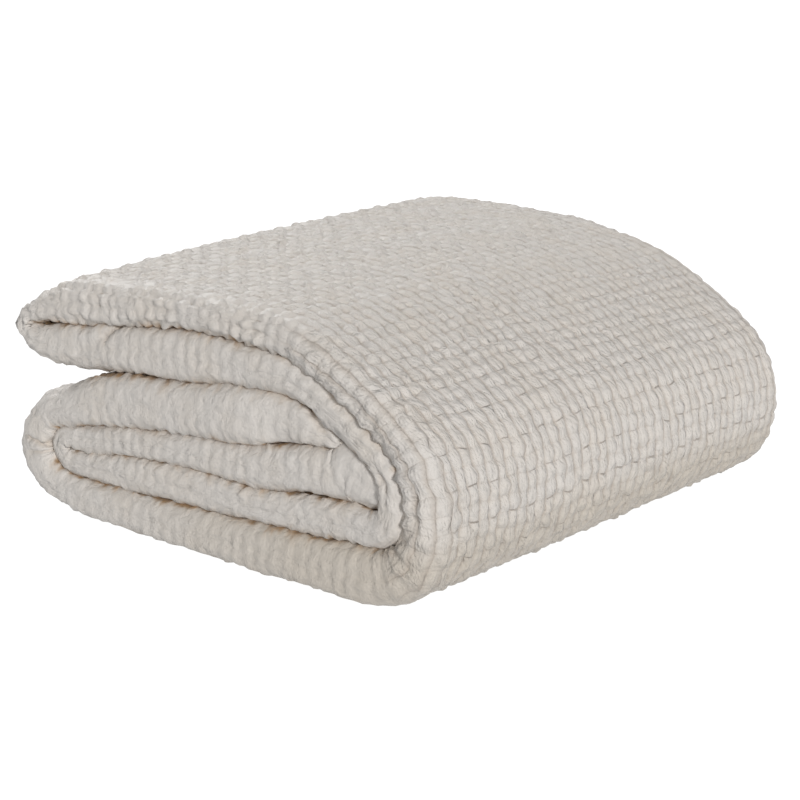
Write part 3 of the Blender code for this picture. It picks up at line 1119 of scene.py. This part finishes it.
# %% The cotton material
def cotton_material():
    """Puffed cream cotton: seams, slits, ribs and floating yarns from the flat cloth's places,
    with painted shade in the seams, slits, creases and lines between the runs.
    """
    material = bpy.data.materials.new("cream_cotton_weave")
    tree = Tree(material)
    place = tree.node("ShaderNodeAttribute", {"attribute_name": "weave_place"}, output=1)
    marks = tree.node("ShaderNodeAttribute", {"attribute_name": "rib_and_shade_marks"}, output=1)
    across, along, _ = tree.parts(place)
    ribbed, line, crease = tree.parts(marks)
    slit_and_shade_marks = tree.node("ShaderNodeAttribute", {"attribute_name": "slit_and_shade_marks"}, output=1)
    slit_open, holes, under = tree.parts(slit_and_shade_marks)
    t, r, odd, column, row = brick_place(across, along)
    puff = brick_puff(t, r)
    own = tree.node("ShaderNodeCombineXYZ", X=column, Y=row)
    each = tree.node("ShaderNodeTexWhiteNoise", {"noise_dimensions": "2D"}, Vector=own)
    cloudy = tree.node("ShaderNodeTexNoise", Vector=place, Scale=28.0, Detail=3.0)
    blotchy = tree.node("ShaderNodeTexNoise", Vector=place, Scale=110.0, Detail=2.0)
    fuzz = tree.node("ShaderNodeTexNoise", Vector=place, Scale=900.0, Detail=2.0)
    lengthways = tree.node("ShaderNodeCombineXYZ", X=across + 0.3 * along, Y=0.6 * along)
    crossways = tree.node("ShaderNodeCombineXYZ", X=1.9 * across, Y=along + 0.5 * across)
    folded = tree.node("ShaderNodeTexNoise", Vector=lengthways, Scale=330.0, Detail=3.0)
    ribs = tree.node("ShaderNodeTexNoise", Vector=crossways, Scale=190.0, Detail=3.0)
    crinkle = folded * (1 - ribbed) + ribs * ribbed

    end = most(r, 1 - r) + 0.02 * (blotchy - 0.5) + 0.03 * (crinkle - 0.5) + 0.006 * holes
    sides = abs(t) + 0.7 * (blotchy - 0.5)
    slit = step_between(end, 0.966, 0.996) * (1 - odd) * (1 - step_between(sides, 0.5, 0.9))
    slit = slit * slit_open * most(step_between(each, 0.1, 1.3), 0.6 * holes)
    # Painted shade: tan in the seams between the ropes, and on the +t flank of each rope as its
    # shaded side
    seam = (1 - step_between(puff, 0.12, 0.62)) * (1 - ribbed)
    shaded_flank = step_between(t, 0.25, 0.95) * (1 - ribbed)
    # Painted shade along the lines between the runs: a tan fringe and a brown core
    edge = line + 0.9 * (blotchy - 0.5)
    fringe = step_between(edge, 0.30, 0.72)
    core = step_between(edge, 0.52, 0.80)

    colour = tree.mix(CREAM, CREAM_WARM, step_between(cloudy, 0.35, 0.75))
    colour = tree.mix(colour, CREAM_SHADE, 0.5 * step_between(crinkle, 0.45, 0.75))
    # Painted warm shade low on the pile, near the floor
    colour = tree.mix(colour, LOW_SHADE_TAN, 0.65 * under)
    colour = tree.mix(colour, SEAM_SHADE_TAN, most(0.60 * seam, 0.42 * shaded_flank))
    # Painted warm shade along the lines between the runs and in the creases
    colour = tree.mix(colour, LINE_SHADE_TAN, most(0.46 * fringe, 0.8 * crease))
    colour = tree.mix(colour, LINE_SHADE_BROWN, core)
    # Painted shade in the slits; their dip is in the bump
    colour = tree.mix(colour, SLIT_SHADE_BROWN, slit * 0.75)
    tree.feed(tree.shader.inputs["Base Color"], colour)

    bend = 1.5 * sine(along / (4.3 * MM)) + 6 * each
    strands = sine(across * (2 * math.pi / (COLUMN / STRANDS_A_COLUMN)) + bend)
    strands = strands * puff * (1 - ribbed)
    turn = 2 * sine(across / (6 * MM)) + 9 * blotchy
    cross_strands = sine(along * (2 * math.pi / (BRICK / STRANDS_A_BRICK)) + turn)
    strands = strands + 0.25 * cross_strands * ribbed
    height = (STRANDS_HIGH * strands + FUZZ_HIGH * fuzz
              + (CRINKLE_HIGH - RIBBED_CRINKLE_LESS * ribbed) * crinkle
              - SLIT_DEEP * slit + PUFF_HIGH * puff * (1 - 0.7 * ribbed))
    bump = tree.node("ShaderNodeBump", Height=height, Strength=1.0, Distance=1.0)
    tree.feed(tree.shader.inputs["Normal"], bump)
    tree.shader.inputs["Roughness"].default_value = ROUGHNESS
    tree.shader.inputs["Sheen Weight"].default_value = SHEEN
    tree.shader.inputs["Sheen Roughness"].default_value = SHEEN_ROUGHNESS
    print("the cotton has", len(material.node_tree.nodes), "nodes")
    return material


mesh.materials.append(cotton_material())

# %% [markdown]
# ## The studio
# A plain floor runs far out and glows white by itself, so it is as bright near the cloth as far
# away. It takes no shadow and throws no light on the folds. Two soft suns and a white world
# light them instead, so they are read from their own shade.

# %% The floor
FLOOR_HALF = 6.0
FLOOR_WHITE = (0.15, 0.15, 0.15, 1)
FLOOR_GLOW = 0.95
FLOOR_ROUGHNESS = 0.9


def make_floor():
    """One wide pale square under the pile, unseen by shadow and bounce rays."""
    bpy.ops.mesh.primitive_plane_add(size=2 * FLOOR_HALF)
    floor_plane = bpy.context.object
    floor_plane.name = "floor"
    material = bpy.data.materials.new("pale_floor")
    tree = Tree(material)
    tree.shader.inputs["Base Color"].default_value = FLOOR_WHITE
    tree.shader.inputs["Roughness"].default_value = FLOOR_ROUGHNESS
    tree.shader.inputs["Emission Color"].default_value = (1, 1, 1, 1)
    tree.shader.inputs["Emission Strength"].default_value = FLOOR_GLOW
    floor_plane.data.materials.append(material)
    floor_plane.visible_diffuse = False
    floor_plane.visible_shadow = False
    return floor_plane


make_floor()

# %% The lights
# Each soft sun shines from an azimuth and an elevation in degrees, told as for the camera
Sun = namedtuple("Sun", "name azimuth elevation share softness")
SUNS = (
    Sun("key_light", 57, 17, 0.65, 10),
    Sun("back_light", 243, 29, 0.48, 8),
)
WORLD_STRENGTH = 0.45


def make_lights():
    """Soft suns and a white world around the pile."""
    for sun in SUNS:
        light = bpy.data.lights.new(sun.name, "SUN")
        light.energy = math.pi * sun.share
        light.angle = math.radians(sun.softness)
        holder = bpy.data.objects.new(sun.name, light)
        bpy.context.scene.collection.objects.link(holder)
        holder.rotation_euler = (math.radians(90 - sun.elevation), 0, math.radians(sun.azimuth))
    world = bpy.data.worlds.new("studio")
    bpy.context.scene.world = world
    world.use_nodes = True
    background = world.node_tree.nodes["Background"]
    background.inputs["Color"].default_value = (1, 1, 1, 1)
    background.inputs["Strength"].default_value = WORLD_STRENGTH
    bpy.context.scene.view_settings.view_transform = "Standard"


make_lights()
